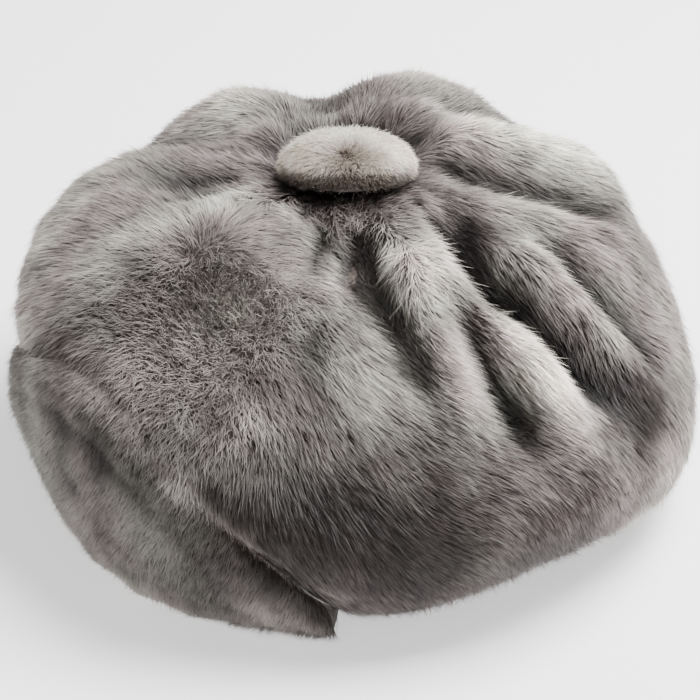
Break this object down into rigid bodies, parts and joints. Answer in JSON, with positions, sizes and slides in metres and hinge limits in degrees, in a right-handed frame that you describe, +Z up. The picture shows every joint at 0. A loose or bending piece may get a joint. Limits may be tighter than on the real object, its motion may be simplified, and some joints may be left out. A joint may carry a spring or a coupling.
{
  "type": "fur cap",
  "caption": "Baker-boy style cap of grey faux fur: a full gathered crown, a round fur button and a short turned-down peak.",
  "frame": {"origin": "middle of the whole cap in plan, on the surface that it rests on", "axes": "+Z up; the peak faces -Y and the nape +Y; +X is the wearer's left"},
  "size_m": [0.2844, 0.281, 0.154],
  "materials": {
    "crown_fur": "long grey faux fur, matt",
    "peak_fur": "long grey faux fur, matt",
    "button_fur": "pale grey faux fur, matt"
  },
  "bodies": {
    "root": {"crown": "crown_fur", "peak": "peak_fur", "button": "button_fur"}
  },
  "joints": []
}
